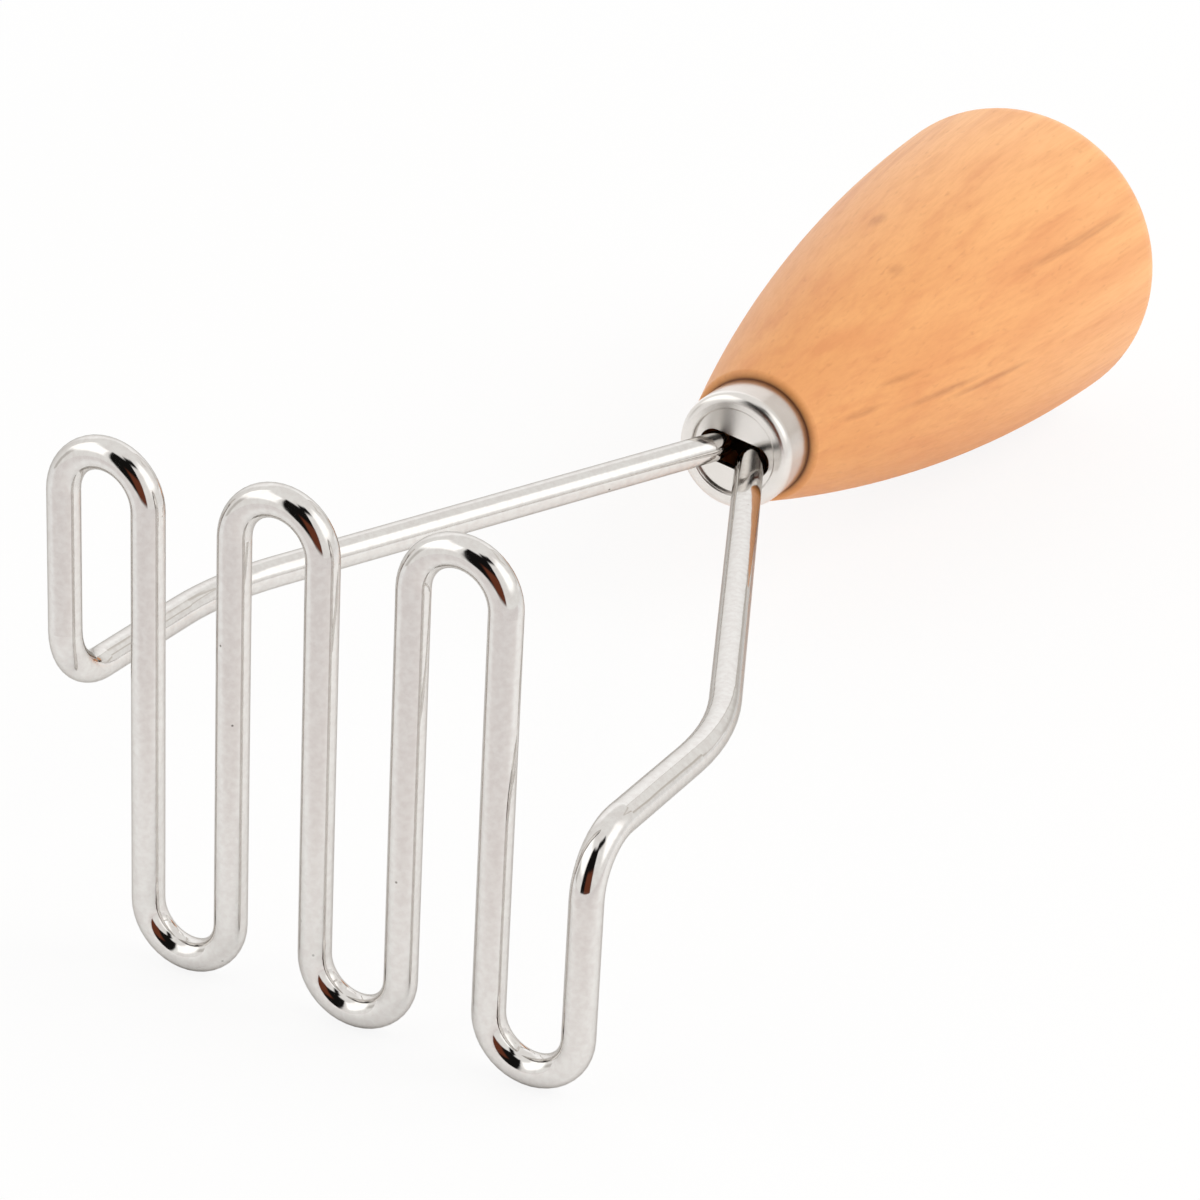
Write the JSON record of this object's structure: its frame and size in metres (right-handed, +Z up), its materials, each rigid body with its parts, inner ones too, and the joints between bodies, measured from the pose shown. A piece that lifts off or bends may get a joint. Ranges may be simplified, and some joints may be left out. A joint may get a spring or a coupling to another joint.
{
  "type": "potato masher",
  "caption": "Potato masher with a zigzag grid bent from one stainless-steel rod, two shanks, a slotted metal ferrule and an egg-shaped turned wooden palm handle, lying on its side.",
  "frame": {"origin": "on the table under the middle of the masher as it lies on its side, at the centre of the base of its box", "axes": "+Z up from the table, +Y from the grid towards the palm end of the handle, +X along the row of legs, to the right when seen from the grid"},
  "size_m": [0.0742, 0.2206, 0.0657],
  "materials": {
    "polished_steel_rod": "polished stainless steel rod",
    "polished_steel_cap": "polished stainless steel",
    "turned_wood": "satin, turned along the grain",
    "cured_adhesive": "cured adhesive, out of sight"
  },
  "bodies": {
    "root": {"masher_wire": "polished_steel_rod", "ferrule": "polished_steel_cap", "handle": "turned_wood", "tang_adhesive": "cured_adhesive"}
  },
  "joints": []
}
